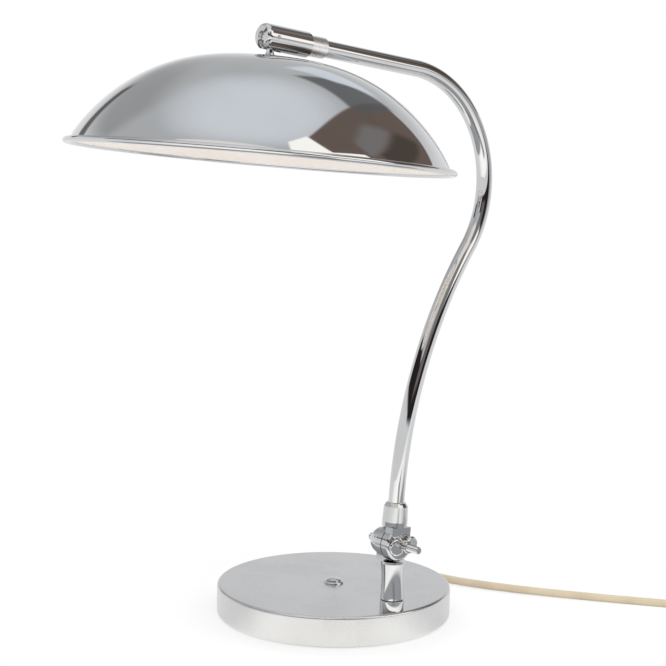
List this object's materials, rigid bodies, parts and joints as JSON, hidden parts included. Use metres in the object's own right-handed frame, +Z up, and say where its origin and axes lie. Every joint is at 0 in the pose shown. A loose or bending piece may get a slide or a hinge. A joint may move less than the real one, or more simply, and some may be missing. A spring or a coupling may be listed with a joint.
{
  "type": "desk lamp",
  "caption": "Desk lamp: spun dome shade on a ball swivel, carried by a bent tube arm that tilts and turns on a column standing at the edge of a round weighted base.",
  "frame": {"origin": "middle of the underside of the base, on the table the lamp stands on", "axes": "+Z up; +X and -X lie in the plane of the arm, with the shade on the -X side; the clamping stud of the tilting joint runs along Y, with its wing nut on the -Y side"},
  "size_m": [0.6716, 0.374, 0.4887],
  "materials": {
    "chrome_shade": "polished, spun, mirror bright",
    "chrome_tube": "polished, mirror bright",
    "chrome_base": "polished, with light handling haze",
    "cast_iron": "as cast",
    "zinc_steel": "turned and zinc plated",
    "felt": "pressed felt",
    "switch_plastic": "moulded",
    "cream_plastic": "moulded phenolic",
    "washer_fibre": "pressed fibre",
    "brass": "bare, dull",
    "lead_sheath": "smooth",
    "beige_cord": "smooth, slightly dull",
    "tie_strap": "soft",
    "plug_plastic": "moulded"
  },
  "bodies": {
    "base": {"base_cover": "chrome_base", "base_weight": "cast_iron", "base_plate": "zinc_steel", "base_felt": "felt", "base_screws": "zinc_steel", "switch_bezel": "chrome_tube", "switch_nut": "zinc_steel", "switch_body": "switch_plastic", "cord_bush": "beige_cord", "cord_clamp": "cream_plastic", "clamp_screws": "zinc_steel", "supply_lead": "lead_sheath", "lamp_lead": "lead_sheath", "column_boss": "chrome_tube", "column_pipe": "zinc_steel", "pipe_washer": "zinc_steel", "pipe_nut": "zinc_steel", "pipe_ring": "zinc_steel", "stop_pin": "zinc_steel", "swivel_washer": "washer_fibre", "cord": "beige_cord", "cord_coil": "beige_cord", "cord_tail": "beige_cord", "cord_tie": "tie_strap", "plug_body": "plug_plastic", "plug_pins": "brass"},
    "button": {"switch_button": "chrome_tube"},
    "column": {"column": "chrome_tube", "column_head": "chrome_tube", "hinge_stud": "chrome_tube", "stud_nut": "chrome_tube", "friction_washer": "washer_fibre"},
    "wing_nut": {"wing_nut": "chrome_tube"},
    "arm": {"lock_washer": "zinc_steel", "arm_socket": "chrome_tube", "socket_screw": "zinc_steel", "arm_tube": "chrome_tube", "arm_lead": "lead_sheath", "arm_collar": "chrome_tube"},
    "sleeve": {"swivel_sleeve": "chrome_tube", "sleeve_screw": "zinc_steel", "pivot_screws": "chrome_tube", "ball_seat": "cream_plastic", "spring_washers": "zinc_steel"},
    "shade": {"shade_stem": "chrome_tube", "shade": "chrome_shade", "shade_nut": "zinc_steel", "holder_cap": "cream_plastic", "holder_body": "cream_plastic", "holder_block": "cream_plastic", "holder_shell": "brass", "holder_contact": "brass"}
  },
  "joints": [
    {"name": "column_swivel", "type": "hinge", "parent": "base", "child": "column", "pos_m": [-0.01066, -0.08685, 0.0348], "axis": [0, 0, 1], "range_deg": [-165, 165]},
    {"name": "arm_tilt", "type": "hinge", "parent": "column", "child": "arm", "pos_m": [-0.01066, -0.08685, 0.081], "axis": [0, 1, 0], "range_deg": [-40, 35]},
    {"name": "wing_nut_turn", "type": "hinge", "parent": "column", "child": "wing_nut", "pos_m": [-0.01066, -0.10185, 0.081], "axis": [0, -1, 0], "range_deg": [0, 90]},
    {"name": "sleeve_turn", "type": "hinge", "parent": "arm", "child": "sleeve", "pos_m": [-0.14133, -0.08685, 0.47864], "axis": [-0.993, 0, 0.1184], "range_deg": [-120, 120]},
    {"name": "shade_tilt", "type": "hinge", "parent": "sleeve", "child": "shade", "pos_m": [-0.14133, -0.08685, 0.47864], "axis": [0, 1, 0], "range_deg": [-6, 75]},
    {"name": "switch_press", "type": "slide", "parent": "base", "child": "button", "axis": [0, 0, -1], "range_m": [0, 0.002], "stiffness_N_per_m": 800, "springref_m": -0.002}
  ]
}
